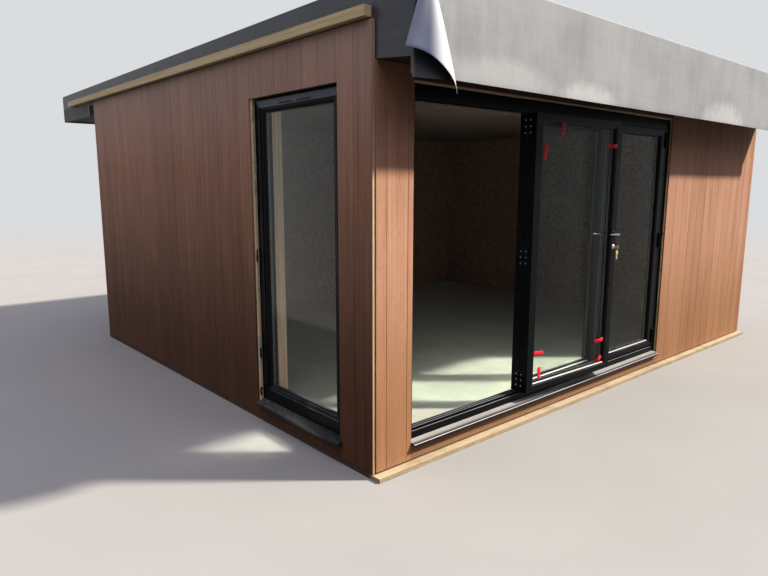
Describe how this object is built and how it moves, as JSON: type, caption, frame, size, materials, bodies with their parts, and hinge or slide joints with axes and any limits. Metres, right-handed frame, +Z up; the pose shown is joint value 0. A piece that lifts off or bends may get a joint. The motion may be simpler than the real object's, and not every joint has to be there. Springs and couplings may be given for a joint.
{
  "type": "garden office pod",
  "caption": "Flat-roofed timber garden office pod with brown composite cladding, a folding glazed door, a tall side window and a loose rubber roof membrane.",
  "frame": {"origin": "on the ground, under the middle of the footprint of the cladding", "axes": "+Z is up, -Y is the front with the folding door, +X is to the right seen from the front, so the window is in the -X wall"},
  "size_m": [5.11, 5.5603, 2.522],
  "materials": {
    "slab_concrete": "rough cast concrete edge",
    "floor_board": "pale green moisture-proof chipboard",
    "pine": "rough sawn pine",
    "wall_board": "brown strand board over an insulated core",
    "composite_cladding": "brushed wood composite with a printed grain",
    "black_aluminium": "satin black powder coat",
    "glazing": "clear double glazing",
    "satin_steel": "satin",
    "lock_brass": "satin",
    "ceiling_board": "raw strand board",
    "roof_board": "strand board over an insulated core",
    "rubber_membrane": "dark grey matt sheet",
    "dusty_membrane": "matt sheet with pale dust"
  },
  "bodies": {
    "root": {"base_slab": "slab_concrete", "floor_panel": "floor_board", "door_sill_plate": "pine", "front_wall_left": "wall_board", "front_wall_right": "wall_board", "front_wall_lintel": "wall_board", "left_wall": "wall_board", "right_wall": "wall_board", "back_wall": "wall_board", "front_cladding_left": "composite_cladding", "front_cladding_right": "composite_cladding", "front_cladding_header": "composite_cladding", "front_cladding_skirt": "composite_cladding", "left_cladding": "composite_cladding", "right_cladding": "composite_cladding", "back_cladding": "composite_cladding", "door_packers": "pine", "door_sill": "black_aluminium", "door_threshold": "black_aluminium", "door_frame": "black_aluminium", "lead_leaf_frame": "black_aluminium", "lead_leaf_glass": "glazing", "middle_leaf_frame": "black_aluminium", "middle_leaf_glass": "glazing", "right_leaf_frame": "black_aluminium", "right_leaf_glass": "glazing", "door_hinges": "black_aluminium", "door_rollers": "black_aluminium", "door_handle": "satin_steel", "door_lock": "lock_brass", "window_packers": "pine", "window_sill": "black_aluminium", "window_frame": "black_aluminium", "window_glass": "glazing", "ceiling_lining": "ceiling_board", "roof_panel": "roof_board", "rear_canopy": "roof_board", "front_fascia": "pine", "rear_fascia": "pine", "front_soffit": "roof_board", "roof_membrane": "rubber_membrane", "membrane_skirts": "dusty_membrane", "membrane_corner_flap": "dusty_membrane", "left_roof_batten": "pine", "right_roof_batten": "pine"}
  },
  "joints": []
}
